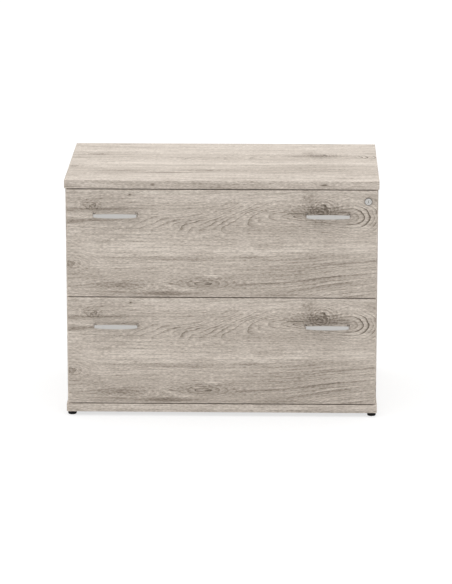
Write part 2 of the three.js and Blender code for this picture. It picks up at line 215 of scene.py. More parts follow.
def ramp(tree, value, *stops):
    """Colour looked up between stops, each a place from 0 to 1 and its colour."""
    node = add_node(tree, "ShaderNodeValToRGB", {0: value})
    elements = node.color_ramp.elements
    while len(elements) < len(stops):
        elements.new(0.5)
    for element, (place, colour) in zip(elements, stops):
        element.position = place
        element.color = colour
    return node.outputs[0]


def bump(tree, shader, height, strength, distance):
    """Leads a height map to the shader's normal."""
    sockets = {"Strength": strength, "Distance": distance, "Height": height}
    tree.links.new(add_node(tree, "ShaderNodeBump", sockets).outputs[0], shader.inputs["Normal"])


def finish(name, metallic=0.0):
    """A new material with its tree, its Principled BSDF and the Object coordinates."""
    material = bpy.data.materials.new(name)
    material.use_nodes = True
    tree = material.node_tree
    shader = tree.nodes["Principled BSDF"]
    shader.inputs["Metallic"].default_value = metallic
    place = add_node(tree, "ShaderNodeTexCoord").outputs["Object"]
    return material, tree, shader, place


def shader_group(name, inputs, outputs):
    """A shader node group with named sockets; inputs and outputs map a name to its socket type."""
    tree = bpy.data.node_groups.new(name, "ShaderNodeTree")
    for label, kind in inputs.items():
        tree.interface.new_socket(label, in_out="INPUT", socket_type="NodeSocket" + kind)
    for label, kind in outputs.items():
        tree.interface.new_socket(label, in_out="OUTPUT", socket_type="NodeSocket" + kind)
    entry = tree.nodes.new("NodeGroupInput")
    end = tree.nodes.new("NodeGroupOutput")
    return tree, entry.outputs, end.inputs


# Fine unevenness that handling and moulding leave, shared by the plastic, metal and plain board finishes
scuff_group, scuff_in, scuff_out = shader_group(
    "handling marks",
    {"Place": "Vector", "Grain Size": "Float", "Mark Size": "Float"},
    {"Grain": "Float", "Marks": "Float"})
grain_scale = calc(scuff_group, "DIVIDE", 1.0, scuff_in["Grain Size"])
grain_cloud = cloud(scuff_group, scuff_in["Place"], grain_scale, detail=3.0, roughness=0.6)
scuff_group.links.new(grain_cloud, scuff_out["Grain"])
mark_scale = calc(scuff_group, "DIVIDE", 1.0, scuff_in["Mark Size"])
mark_cloud = cloud(scuff_group, scuff_in["Place"], mark_scale, detail=5.0, roughness=0.7)
scuff_group.links.new(smooth_step(scuff_group, mark_cloud, start=0.55, end=0.75), scuff_out["Marks"])


def wear(tree, shader, place, grain_size, mark_size, roughness, dents, clean, worn):
    """Handling marks on a finish: the grain adds its share to the least roughness and dents the surface
    with a strength and a depth; the colour, also given back, goes from clean to worn in the marks."""
    least, share = roughness
    marks = use_group(tree, scuff_group, {"Place": place, "Grain Size": grain_size, "Mark Size": mark_size})
    tree.links.new(calc(tree, "MULTIPLY_ADD", marks["Grain"], share, least), shader.inputs["Roughness"])
    bump(tree, shader, marks["Grain"], *dents)
    colour = ramp(tree, marks["Marks"], (0.0, clean), (1.0, worn))
    tree.links.new(colour, shader.inputs["Base Color"])
    return colour


black_plastic, tree, shader, place = finish("black moulded plastic")
wear(tree, shader, place, grain_size=0.6 * MM, mark_size=9 * MM, roughness=(0.36, 0.25),
     dents=(0.35, 0.1 * MM), clean=PLASTIC_BLACK, worn=PLASTIC_SCUFFED)
shader.inputs["Specular IOR Level"].default_value = 0.15

pad_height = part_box("base_panel")[0].z - FOOT_PLAY
for node in FEET:
    low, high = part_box(node)
    grid = foot_grid(middle_of(node, 0, 1), pad_height, (high.x - low.x) / 2, high.z)
    mesh = skin_mesh(node + "_glide", [grid])
    new_piece(mesh, node, "black_plastic", node, finishes=[black_plastic])


# Base panel: 25 mm chipboard faced with grey oak melamine print and banded all round with a matching
# 2 mm plastic edging, whose outer arris is rounded over. The sides are dowelled onto it.
ARRIS_RADIUS = 1.3 * MM
EDGING_THICKNESS = 2.0 * MM
EDGING_REACH = 1.5 * EDGING_THICKNESS
CORNER_RADIUS = 2.3 * MM
ARRIS_STEPS = 5
BORE_COLUMNS = 32
BORE_FIT = 0.3 * MM
FLAT_FACE = 0.99
OAK_DARK = (0.150, 0.124, 0.097, 1.0)
OAK_BROWN = (0.322, 0.275, 0.230, 1.0)
OAK_GREY = (0.530, 0.468, 0.408, 1.0)
OAK_PALE = (0.760, 0.687, 0.611, 1.0)
CHIP_DARK = (0.17, 0.115, 0.065, 1.0)
CHIP_LIGHT = (0.52, 0.40, 0.26, 1.0)


def other_axes(axis):
    """The two axes square to an axis."""
    return [other for other in range(3) if other != axis]


def board_outline(half):
    """Points round a rectangle, close-set at its corners, in order of their bearing from its middle."""
    half = np.array(half)
    signs = np.array([(1, 1), (-1, 1), (-1, -1), (1, -1)])
    short = np.linspace(0.0, CORNER_RADIUS, ARRIS_STEPS + 1)
    along_first = signs[:, None] * (half - np.stack([short, 0 * short], 1)[None])
    along_second = signs[:, None] * (half - np.stack([0 * short[1:], short[1:]], 1)[None])
    points = np.concatenate([along_first.reshape(-1, 2), along_second.reshape(-1, 2)])
    return points[np.argsort(np.arctan2(points[:, 1], points[:, 0]))]


def board_grid(low, high, thin):
    """A board as rows of outlines: from inside one face's edging out over the rounded arris, down the edge
    and back onto the other face. A point of an outline is the nearest point of the rectangle that the
    corner radius leaves, pushed out by that radius less the row's inset."""
    wide = other_axes(thin)
    low = np.array(low)
    high = np.array(high)
    middle = (low + high) / 2
    half = ((high - low) / 2)[wide]
    depth = (high - low)[thin] / 2
    turn = np.linspace(0.0, np.pi / 2, ARRIS_STEPS + 1)
    over = np.stack([ARRIS_RADIUS * (1 - np.sin(turn)), depth - ARRIS_RADIUS * (1 - np.cos(turn))], 1)
    front_rows = np.concatenate([[(EDGING_THICKNESS, depth)], over])
    rows = np.concatenate([front_rows, front_rows[::-1] * (1, -1)])
    rim = board_outline(half)
    core = np.clip(rim, CORNER_RADIUS - half, half - CORNER_RADIUS)
    outward = (rim - core) / np.linalg.norm(rim - core, axis=1, keepdims=True)
    flat = core[None] + outward[None] * (CORNER_RADIUS - rows[:, 0][:, None, None])
    grid = np.zeros(flat.shape[:2] + (3,))
    grid[..., wide] = flat + middle[wide]
    grid[..., thin] = rows[:, 1][:, None] + middle[thin]
    return grid


def face_layout(mesh):
    """The normals and the middles of a mesh's faces, as rows of an array each."""
    normals = np.zeros(len(mesh.polygons) * 3)
    middles = np.zeros(len(mesh.polygons) * 3)
    mesh.polygons.foreach_get("normal", normals)
    mesh.polygons.foreach_get("center", middles)
    return normals.reshape(-1, 3), middles.reshape(-1, 3)


def banded_board(name, body, thin, face, edging, node):
    """A board piece over a CAD node's box, with its print on the two broad faces and edging elsewhere."""
    low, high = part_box(node)
    mesh = skin_mesh(name, [board_grid(low, high, thin)])
    board = new_piece(mesh, body, "oak_print", node, finishes=[face, edging])
    normals, middles = face_layout(mesh)
    wide = other_axes(thin)
    past_low = middles[:, wide] > (np.array(low) + EDGING_REACH)[wide]
    short_of_high = middles[:, wide] < (np.array(high) - EDGING_REACH)[wide]
    within = (past_low & short_of_high).all(axis=1)
    flat = np.abs(normals[:, thin]) > FLAT_FACE
    mesh.polygons.foreach_set("material_index", (~(within & flat)).astype(np.int32))
    return board


def bore_grid(centre, axis, *steps):
    """A round bore along an axis: one circle for each step, given as its place on the axis and its radius,
    about a centre given on the other two axes."""
    place, radius = np.array(steps).T[:, :, None]
    turn = full_turn(BORE_COLUMNS)
    first, second = other_axes(axis)
    grid = np.zeros((len(steps), BORE_COLUMNS, 3))
    grid[..., first] = centre[0] + radius * np.cos(turn)
    grid[..., second] = centre[1] + radius * np.sin(turn)
    grid[..., axis] = place
    return grid


def drill(piece, bores, lining):
    """Cuts bores out of a piece's mesh for good and gives their walls a finish of their own."""
    mesh = skin_mesh("bores", bores)
    mesh.materials.append(lining)
    drill_bits = new_object("bores", mesh)
    cut = piece.modifiers.new("bores", "BOOLEAN")
    cut.object = drill_bits
    cut.material_mode = "TRANSFER"
    drilled = piece.evaluated_get(bpy.context.evaluated_depsgraph_get())
    piece.data = bpy.data.meshes.new_from_object(drilled)
    piece.data.set_sharp_from_angle(angle=math.radians(SHARP_DEGREES))
    piece.modifiers.clear()
    bpy.data.objects.remove(drill_bits)


# The grey oak print, worked out in millimetres along and across the grain. Growth lines are contours of a
# height: straight across the board, parted and swelled round knots. The heart figure is a second height,
# the distance from the heart of the log, which the cut leaves to the left and right.
KNOT_UNEVENNESS = 1.6
KNOT_CORE_FALL = -6.0
KNOT_LINE_POWER = 2.5
knot_group, knot_in, knot_out = shader_group(
    "knot figure",
    {"Along": "Float", "Across": "Float", "Centre Along": "Float", "Centre Across": "Float",
     "Half Length": "Float", "Half Height": "Float", "Rings": "Float", "Raggedness": "Float"},
    {"Halo": "Float", "Core": "Float", "Ring Lines": "Float"})
tree = knot_group
knot_u = calc(tree, "SUBTRACT", knot_in["Along"], knot_in["Centre Along"])
knot_v = calc(tree, "SUBTRACT", knot_in["Across"], knot_in["Centre Across"])
knot_u = calc(tree, "DIVIDE", knot_u, knot_in["Half Length"])
knot_v = calc(tree, "DIVIDE", knot_v, knot_in["Half Height"])
knot_sockets = {0: knot_u, 1: knot_v, 2: knot_in["Centre Along"]}
knot_place = add_node(tree, "ShaderNodeCombineXYZ", knot_sockets).outputs[0]
knot_cloud = cloud(tree, knot_place, KNOT_UNEVENNESS, detail=3.0, roughness=0.6)
knot_wobble = calc(tree, "MULTIPLY", calc(tree, "SUBTRACT", knot_cloud, 0.5), knot_in["Raggedness"])
knot_square = calc(tree, "ADD", calc(tree, "POWER", knot_u, 2.0), calc(tree, "POWER", knot_v, 2.0))
knot_radius = calc(tree, "SQRT", knot_square)
knot_edge = calc(tree, "MAXIMUM", calc(tree, "ADD", knot_radius, knot_wobble), 0.0)
knot_halo = calc(tree, "EXPONENT", calc(tree, "MULTIPLY", knot_square, -1.0))
knot_fall = calc(tree, "MULTIPLY", calc(tree, "POWER", knot_edge, 2.0), KNOT_CORE_FALL)
knot_phase = calc(tree, "FRACT", calc(tree, "MULTIPLY", knot_edge, knot_in["Rings"]))
knot_lines = calc(tree, "MULTIPLY", calc(tree, "POWER", knot_phase, KNOT_LINE_POWER), knot_halo)
tree.links.new(knot_halo, knot_out["Halo"])
tree.links.new(calc(tree, "EXPONENT", knot_fall), knot_out["Core"])
tree.links.new(knot_lines, knot_out["Ring Lines"])

oak_group, oak_in, oak_out = shader_group(
    "grey oak print",
    {"Along": "Float", "Across": "Float"},
    {"Colour": "Color", "Roughness": "Float", "Height": "Float"})
tree = oak_group
along = oak_in["Along"]
across = oak_in["Across"]
SHIFT_ACROSS = 1.7
LINES_GO_SHIFT = 5.3
LINES_GO_CONTRAST = 2.6
LINES_GO_MEAN = 0.55


def streaks(height, length, width, shift, detail=2.0, roughness=0.5):
    """Noise drawn out along the grain, over a height across it: about length long and width wide, in
    millimetres, about zero. The shift takes each kind of streak from another part of the noise."""
    u = calc(oak_group, "MULTIPLY_ADD", along, 1.0 / length, shift)
    v = calc(oak_group, "MULTIPLY_ADD", height, 1.0 / width, SHIFT_ACROSS * shift)
    vector = add_node(oak_group, "ShaderNodeCombineXYZ", {0: u, 1: v}).outputs[0]
    return calc(oak_group, "SUBTRACT", cloud(oak_group, vector, 1.0, detail, roughness, "2D"), 0.5)


def knot(centre_along, centre_across, half_length, half_height, rings=0.0, raggedness=0.0):
    """A knot or soft patch on the print, in millimetres: its halo, core and ring lines."""
    return use_group(oak_group, knot_group, {
        "Along": along, "Across": across, "Centre Along": centre_along, "Centre Across": centre_across,
        "Half Length": half_length, "Half Height": half_height, "Rings": rings, "Raggedness": raggedness})


def total(*terms):
    """Sum of pairs of an output and its weight."""
    result = 0.0
    for value, weight in terms:
        result = calc(oak_group, "MULTIPLY_ADD", value, weight, result)
    return result


def growth_lines(height, spacing, shift, length, unevenness, power):
    """Thin dark lines along the contours of a height, at an uneven spacing: each darkens slowly and ends
    sharply, as late wood does, and comes and goes along its length."""
    uneven = streaks(height, 2 * length, 3 * spacing, shift)
    even_phase = calc(oak_group, "DIVIDE", height, spacing)
    phase = calc(oak_group, "ADD", even_phase, total((uneven, unevenness)))
    dark = calc(oak_group, "POWER", calc(oak_group, "FRACT", phase), power)
    go = streaks(height, length, spacing, shift + LINES_GO_SHIFT)
    go = calc(oak_group, "MULTIPLY_ADD", go, LINES_GO_CONTRAST, LINES_GO_MEAN, clamp=True)
    return calc(oak_group, "MULTIPLY", dark, go)


# Where the lines part round a knot or swell over an eye: centre along and across, half length and height,
# lift, and the share by which lines are pushed apart
SWELLS = (
    (298, 270, 62, 24, 12, 0.55), (258, 302, 22, 16, 8, 0.3), (-385, 276, 34, 16, 8, 0.5),
    (-451, 104, 48, 36, -12, 0.7), (-41, 43, 80, 17, 14, 0.3), (-240, 36, 120, 26, 0, 0.6),
    (-150, 8, 95, 15, 9, 0.2), (240, 310, 260, 40, -20, 0.0))
# Low on the right the lines climb, and lines and bands are darker within this patch
CLIMB_PATCH = (370, 55, 280, 66)
slow_wave = streaks(across, length=420, width=170, shift=3.1, detail=1.0)
ripple = streaks(across, length=90, width=24, shift=9.4)
lines = calc(tree, "ADD", across, total((slow_wave, 30.0), (ripple, 3.0)))
for *spot, lift, parted in SWELLS:
    offset = calc(tree, "SUBTRACT", across, spot[1])
    push = calc(tree, "MULTIPLY_ADD", offset, -parted, lift)
    lines = calc(tree, "MULTIPLY_ADD", knot(*spot)["Halo"], push, lines)
climb = smooth_step(tree, along, start=100.0, end=900.0, first=0.0, last=-80.0)
climb_share = smooth_step(tree, across, start=90.0, end=230.0, first=1.0, last=0.0)
lines = calc(tree, "MULTIPLY_ADD", climb, climb_share, lines)

# Heart figure, seen within these patches: the line of the heart climbs to the right, and the cut leaves
# it on both sides of the stretch from left to right; the rings are wider and darker on the right
HEART_LEFT = 250.0
HEART_RIGHT = 385.0
HEART_PATCHES = ((330, 250, 240, 44), (-70, 231, 200, 27), (120, 258, 140, 34))
HEART_PATCH_GAIN = 1.4
heart_line = smooth_step(tree, along, start=-60.0, end=170.0, first=196.0, last=248.0)
from_heart = calc(tree, "SUBTRACT", calc(tree, "ADD", across, total((ripple, 12.0))), heart_line)
to_left = calc(tree, "MAXIMUM", calc(tree, "SUBTRACT", HEART_LEFT, along), 0.0)
to_right = calc(tree, "MAXIMUM", calc(tree, "SUBTRACT", along, HEART_RIGHT), 0.0)
cut_depth = total((to_left, 0.17), (to_right, 0.60))
squares = calc(tree, "ADD", calc(tree, "POWER", from_heart, 2.0), calc(tree, "POWER", cut_depth, 2.0))
ring_distance = calc(tree, "ADD", calc(tree, "SQRT", squares), total((slow_wave, 6.0), (ripple, 4.0)))
ring_width = smooth_step(tree, along, HEART_LEFT, HEART_RIGHT, first=1.0, last=0.69)
ring_distance = calc(tree, "MULTIPLY", ring_distance, ring_width)
heart_rings = growth_lines(ring_distance, spacing=6.0, shift=21.3, length=80, unevenness=1.0, power=3.0)
heart_depth = smooth_step(tree, along, HEART_RIGHT, end=425.0, first=-0.72, last=-1.20)
heart_zone = 0.0
for spot in HEART_PATCHES:
    heart_zone = calc(tree, "MAXIMUM", heart_zone, knot(*spot)["Halo"])
heart_zone = calc(tree, "MULTIPLY", heart_zone, HEART_PATCH_GAIN, clamp=True)

# Soft dark and pale patches: centre along and across, half length and height, and depth of tone
PATCHES = (
    (292, 264, 66, 20, 0.09), (230, 260, 34, 8, 0.14), (350, 262, 44, 9, 0.12), (282, 268, 34, 14, 0.10),
    (-350, 270, 110, 4, 0.34), (-448, 231, 46, 6, 0.40), (-372, 237, 60, 4, 0.30), (-455, 266, 44, 9, 0.16),
    (-300, 249, 60, 4, 0.25), (-170, 118, 150, 6, 0.16), (180, 7, 70, 4, 0.26), (-160, 11, 85, 6, 0.44),
    (-290, 38, 70, 3, 0.24), (-316, 36, 60, 20, 0.07), (130, 210, 130, 9, 0.14), (0, 45, 700, 70, 0.07),
    (150, 240, 420, 36, 0.06), (40, 150, 500, 22, -0.07), (-375, 32, 30, 2.4, -0.22),
    (-340, 22, 18, 3, -0.20), (-182, 46, 14, 4, -0.20), (-155, 35, 18, 4, -0.22), (-110, 23, 24, 3.5, -0.20),
    (-35, 68, 40, 4, -0.26), (365, -66, 34, 5, 0.30), (0, 568, 900, 30, 0.07))
# Knots and eyes: centre along and across, half length and height, rings, raggedness, and the depths of
# tone of halo, core and ring lines
KNOTS = (
    (296, 261, 40, 32, 3.7, 0.8, 0.0, 0.05, 0.66), (298, 276, 64, 34, 3.6, 1.0, 0.0, 0.0, 0.34),
    (258, 302, 20, 16, 2.6, 1.2, 0.06, 0.12, 0.36), (-388, 281, 34, 19, 2.7, 1.4, 0.04, 0.14, 0.65),
    (-453, 101, 17, 12, 1.2, 1.3, 0.05, 0.18, 0.90), (-445, 100, 66, 40, 2.6, 0.8, 0.06, 0.0, 0.22),
    (-56, 42, 84, 19, 3.2, 0.4, 0.06, 0.0, 0.55), (-43, 41, 26, 4, 0.0, 0.4, 0.08, 0.34, 0.0),
    (-290, 36, 90, 22, 3.0, 0.6, 0.0, 0.0, 0.28), (-274.5, 313.5, 7, 6, 0.0, 0.8, 0.12, 0.60, 0.0),
    (20, -70, 130, 10, 5.0, 1.0, 0.04, 0.0, 0.60), (-205, 568, 14, 6, 2.0, 1.0, 0.10, 0.40, 0.15),
    (305, 568, 16, 6, 2.0, 1.0, 0.10, 0.40, 0.15))
# Tone goes from 0, dark, to 1, pale: its mean, that of the year lines and how much darker they are where
# they climb, and how far patches and knots are broken up by the grain
TONE_MEAN = 0.775
YEAR_TONE = -0.26
YEAR_TONE_CLIMBING = -0.22
BREAK_UP = 1.5
broad = streaks(lines, length=480, width=27, shift=1.3, detail=1.0)
medium = streaks(lines, length=160, width=9, shift=5.7)
fine = streaks(lines, length=48, width=3.4, shift=12.9, detail=3.0, roughness=0.6)
dashes = streaks(lines, length=11, width=2.1, shift=17.2, roughness=0.6)
blotches = streaks(across, length=70, width=45, shift=41.0)
climbing = knot(*CLIMB_PATCH)["Halo"]
year_lines = growth_lines(lines, spacing=10.5, shift=2.2, length=240, unevenness=1.5, power=3.0)
year_depth = calc(tree, "MULTIPLY_ADD", climbing, YEAR_TONE_CLIMBING, YEAR_TONE)
year_tone = calc(tree, "MULTIPLY", year_lines, year_depth)
soft_bands = growth_lines(lines, spacing=23.0, shift=33.1, length=330, unevenness=0.9, power=1.3)
soft_bands = calc(tree, "MULTIPLY", soft_bands, climbing)
straight_tone = calc(tree, "ADD", year_tone, total((medium, 0.31), (soft_bands, -0.46)))
heart_tone = calc(tree, "MULTIPLY", heart_rings, heart_depth)
tone = add_node(tree, "ShaderNodeMix", {0: heart_zone, 2: straight_tone, 3: heart_tone}).outputs[0]
tone = calc(tree, "ADD", tone, total((broad, 0.27), (fine, 0.64), (dashes, 0.95), (blotches, 0.16)))
tone = calc(tree, "ADD", tone, TONE_MEAN)
broken = calc(tree, "MULTIPLY_ADD", calc(tree, "ADD", medium, fine), BREAK_UP, 1.0)
for *spot, depth in PATCHES:
    patch = total((knot(*spot)["Halo"], depth))
    tone = calc(tree, "SUBTRACT", tone, calc(tree, "MULTIPLY", patch, broken))
for *spot, halo, core, ring_depth in KNOTS:
    figure = knot(*spot)
    depth = total((figure["Halo"], halo), (figure["Core"], core), (figure["Ring Lines"], ring_depth))
    tone = calc(tree, "SUBTRACT", tone, calc(tree, "MULTIPLY", depth, broken))

# Pores: short dark dashes pressed slightly into the melamine
PORE_TONE = -0.12
ROUGHNESS_MEAN = 0.52
pore_streaks = streaks(lines, length=9, width=0.55, shift=27.5, detail=1.0)
pore_cloud = calc(tree, "ADD", pore_streaks, total((medium, -0.25)))
pores = smooth_step(tree, pore_cloud, start=0.10, end=0.24)
tone = calc(tree, "MULTIPLY_ADD", pores, PORE_TONE, tone)
oak_colour = ramp(tree, tone, (0.0, OAK_DARK), (0.33, OAK_BROWN), (0.67, OAK_GREY), (1.0, OAK_PALE))
oak_roughness = calc(tree, "ADD", total((pores, 0.15), (blotches, 0.16), (fine, 0.12)), ROUGHNESS_MEAN)
tree.links.new(oak_colour, oak_out["Colour"])
tree.links.new(oak_roughness, oak_out["Roughness"])
tree.links.new(total((pores, -1.0), (dashes, 0.8), (fine, 0.5)), oak_out["Height"])


def vector_calc(tree, operation, *values):
    """The outputs of a Vector Math node working on plain vectors or other outputs."""
    return add_node(tree, "ShaderNodeVectorMath", dict(enumerate(values)), operation=operation).outputs


def oak_finish(name, along_axis, across_axis, start):
    """Oak print laid on a piece: distances along and across the grain are the dot products of its place
    with two axes, moved by start, in millimetres."""
    material, tree, shader, place = finish(name)
    distances = []
    for axis, shift in zip((along_axis, across_axis), start):
        scaled = tuple(part / MM for part in axis)
        distance = vector_calc(tree, "DOT_PRODUCT", place, scaled)["Value"]
        distances.append(calc(tree, "ADD", distance, shift))
    shader.inputs["Specular IOR Level"].default_value = 0.1
    oak = use_group(tree, oak_group, {"Along": distances[0], "Across": distances[1]})
    tree.links.new(oak["Colour"], shader.inputs["Base Color"])
    tree.links.new(oak["Roughness"], shader.inputs["Roughness"])
    bump(tree, shader, oak["Height"], strength=0.12, distance=0.15 * MM)
    return material


raw_board, tree, shader, place = finish("raw chipboard")
chips = add_node(tree, "ShaderNodeTexVoronoi", {"Vector": place, "Scale": 420.0}).outputs["Color"]
chip_tone = add_node(tree, "ShaderNodeSeparateXYZ", {0: chips}).outputs["X"]
tree.links.new(ramp(tree, chip_tone, (0.0, CHIP_DARK), (1.0, CHIP_LIGHT)), shader.inputs["Base Color"])
shader.inputs["Roughness"].default_value = 0.85
bump(tree, shader, chip_tone, strength=0.5, distance=0.2 * MM)

base_face = oak_finish("oak print on base", (1, 0, 0), (0, 1, 0), start=(140, -300))
base_edging = oak_finish("oak edging on base", (1, 1, 0), (0, 0, 1), start=(266, 118))
base_board = banded_board("base_board", "cabinet", 2, base_face, base_edging, "base_panel")
stem_bores = []
for node in FEET:
    low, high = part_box(node)
    wide = STEM_RADIUS + BORE_FIT
    stem_bores.append(bore_grid(middle_of(node, 0, 1), 2, (low.z, wide), (high.z + BORE_FIT, wide)))
drill(base_board, stem_bores, raw_board)


# Side panels: 18 mm oak print board with upright grain, edged front and rear, standing on the base on
# dowels. A groove near the rear holds the back panel; the right side has one in front for the lock bar.
BACK_GROOVE_DEPTH = 6.0 * MM
BACK_GROOVE_FIT = 0.3 * MM
BAR_GROOVE_FIT = 0.4 * MM
GROOVE_CORNER = 0.15 * MM
CUT_END = 0.9
ON_PRINT, ON_EDGING, ON_RAW = range(3)


def side_outline(inner, outer, front, rear, grooves):
    """Section of a side panel seen from above: a rectangle with rounded corners whose inner face steps out
    and back at each groove, given as its front, its back and the place of its floor. It starts and ends
    in the middle of the outer face."""
    steps = []
    for groove_front, groove_back, floor_x in grooves:
        steps += [(inner, groove_front), (floor_x, groove_front)]
        steps += [(floor_x, groove_back), (inner, groove_back)]
    middle = (outer, (front + rear) / 2)
    corners = [middle, (outer, front), (inner, front), *steps, (inner, rear), (outer, rear), middle]
    radii = [ARRIS_RADIUS] * 2 + [GROOVE_CORNER] * len(steps) + [ARRIS_RADIUS] * 2
    return rounded_profile(corners, radii)[:-1]


def carried(section, axis, start, end):
    """A closed section, given on the other two axes, carried straight along an axis from start to end."""
    grid = np.zeros((2, len(section), 3))
    grid[..., other_axes(axis)] = section
    grid[..., axis] = [[start], [end]]
    return grid


side_print = oak_finish("oak print on sides", (0, 0, 1), (0.35, 1, 0), start=(-370, 190))
side_edging = oak_finish("oak edging on sides", (0, 0, 1), (1, 0, 0), start=(-370, 60))
back_low, back_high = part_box("back_panel")
bar_low, bar_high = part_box("lock_bar")
for hand, outward in (("left", -1), ("right", 1)):
    node = hand + "_side_panel"
    low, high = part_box(node)
    inner, outer = (high.x, low.x) if outward < 0 else (low.x, high.x)
    back_floor = inner + outward * BACK_GROOVE_DEPTH
    grooves = [(back_low.y - BACK_GROOVE_FIT, back_high.y + BACK_GROOVE_FIT, back_floor)]
    if hand == "right":
        bar_floor = bar_high.x + BAR_GROOVE_FIT
        grooves.insert(0, (bar_low.y - BAR_GROOVE_FIT, bar_high.y + BAR_GROOVE_FIT, bar_floor))
    outline = side_outline(inner, outer, low.y, high.y, grooves)
    mesh = skin_mesh(hand + "_side_board", [carried(outline, 2, low.z, high.z)])
    new_piece(mesh, "cabinet", "oak_print", node, finishes=[side_print, side_edging, raw_board])
    normals, middles = face_layout(mesh)
    off_face = np.minimum(np.abs(middles[:, 0] - inner), np.abs(middles[:, 0] - outer))
    on_face = off_face < GROOVE_CORNER / 10
    from_edge = np.minimum(middles[:, 1] - low.y, high.y - middles[:, 1])
    in_groove = from_edge > 2 * ARRIS_RADIUS
    kind = np.where(on_face, ON_PRINT, np.where(in_groove, ON_RAW, ON_EDGING))
    kind[np.abs(normals[:, 2]) > CUT_END] = ON_RAW
    mesh.polygons.foreach_set("material_index", kind.astype(np.int32))


# Back panel: 8 mm board with the same print, its grain upright. It is slid into the grooves of the sides
# before the top goes on.
def coat(node, material):
    """Gives a CAD node a finish; its mesh stays as it is."""
    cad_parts[node].material_slots[0].material = material


coat("back_panel", oak_finish("oak print on back", (0, 0, -1), (1, 0, 0), start=(480, 140)))


# Top panel: 25 mm board like the base, the same print running the width of the cabinet, fixed down on
# the sides with hidden cams. Along the width, the print's figure lies as on the drawer fronts.
top_face = oak_finish("oak print on top", (1, 0, 0), (0, 1, 0), start=(0, 158))
top_edging = oak_finish("oak edging on top", (1, 1, 0), (0, 0, 1), start=(266, -150))
banded_board("top_board", "cabinet", 2, top_face, top_edging, "top_panel")


# Telescopic runners: three channels of bent steel strip on each side of a drawer, zinc plated, which run
# in one another. The outer is screwed to the side panel, the inner to the drawer, and the middle slides
# between them.
DRAWERS = ("upper", "lower")
HANDS = ("left", "right")
STRIP_THICKNESS = 1.2 * MM
BEND_OUTSIDE = 1.9 * MM
BEND_INSIDE = 0.7 * MM
STRIP_EDGE = 0.4 * MM
SET_IN_WEB = 0.05 * MM
STOP_REACH = 6.4 * MM
STOP_HALF = 16.8 * MM
STOP_LENGTH = 8.0 * MM
STOP_SET_BACK = 0.6 * MM
SCREW_RADIUS = 3.4 * MM
SCREW_RIM = 0.25 * MM
SCREW_DOME = 0.9 * MM
SCREW_CROSS = (2.0 * MM, 0.45 * MM, 0.7 * MM)
SCREW_ROWS = 22
SCREW_COLUMNS = 48
SCREW_MIDDLE = 0.002
SCREW_PLACES = (0.12, 0.48, 0.86)
ZINC_LIGHT = (0.50, 0.51, 0.53, 1.0)
ZINC_DULL = (0.42, 0.43, 0.45, 1.0)
ZINC_DRAWN_OUT = (1.0, 0.04, 1.0)
ZINC_LEAST_ROUGH = 0.26
ZINC_MARKS_ROUGHEN = 0.12


def channel_grid(low, high, web, open_edge):
    """A channel carried straight back: its section is a strip that runs from the lower lip round two bends
    and up the web to the upper lip, with a wider radius outside each bend than inside."""
    inside = web + math.copysign(STRIP_THICKNESS, open_edge - web)
    bottom, top = low.z, high.z
    start = (open_edge, bottom + STRIP_THICKNESS / 2)
    corners = [
        start, (open_edge, bottom), (web, bottom), (web, top), (open_edge, top),
        (open_edge, top - STRIP_THICKNESS), (inside, top - STRIP_THICKNESS),
        (inside, bottom + STRIP_THICKNESS), (open_edge, bottom + STRIP_THICKNESS), start]
    outside_radii = [STRIP_EDGE, BEND_OUTSIDE, BEND_OUTSIDE, STRIP_EDGE]
    inside_radii = [STRIP_EDGE, BEND_INSIDE, BEND_INSIDE, STRIP_EDGE]
    section = rounded_profile(corners, outside_radii + inside_radii)[:-1]
    return carried(section, 1, low.y, high.y)


def screw_grid(seat, y, z, outward):
    """A domed screw head on a web: rows of circles from the rim to the middle, raised by a flat parabola
    of the radius, and sunk within the two arms of the cross."""
    radius = SCREW_RADIUS * np.sqrt(np.linspace(1.0, SCREW_MIDDLE, SCREW_ROWS))[:, None]
    turn = full_turn(SCREW_COLUMNS)
    across = radius * np.cos(turn)
    upward = radius * np.sin(turn)
    reach, half_width, depth = SCREW_CROSS
    narrow = np.minimum(np.abs(across), np.abs(upward))
    in_cross = (narrow < half_width) & (radius < reach)
    rise = SCREW_DOME * (1 - (radius / SCREW_RADIUS) ** 2) + SCREW_RIM - depth * in_cross
    head = np.stack([seat + outward * rise, y + across, z + upward], axis=-1)
    rim = np.stack([np.full_like(across[0], seat), y + across[0], z + upward[0]], axis=-1)
    return np.concatenate([rim[None], head])


zinc_steel, tree, shader, place = finish("zinc plated steel", metallic=1.0)
drawn = vector_calc(tree, "MULTIPLY", place, ZINC_DRAWN_OUT)[0]
marks = use_group(tree, scuff_group, {"Place": drawn, "Grain Size": 1.2 * MM, "Mark Size": 14 * MM})
zinc_colour = ramp(tree, marks["Grain"], (0.35, ZINC_DULL), (0.65, ZINC_LIGHT))
zinc_roughness = calc(tree, "MULTIPLY_ADD", marks["Marks"], ZINC_MARKS_ROUGHEN, ZINC_LEAST_ROUGH)
tree.links.new(zinc_colour, shader.inputs["Base Color"])
tree.links.new(zinc_roughness, shader.inputs["Roughness"])
bump(tree, shader, marks["Grain"], strength=0.06, distance=0.05 * MM)

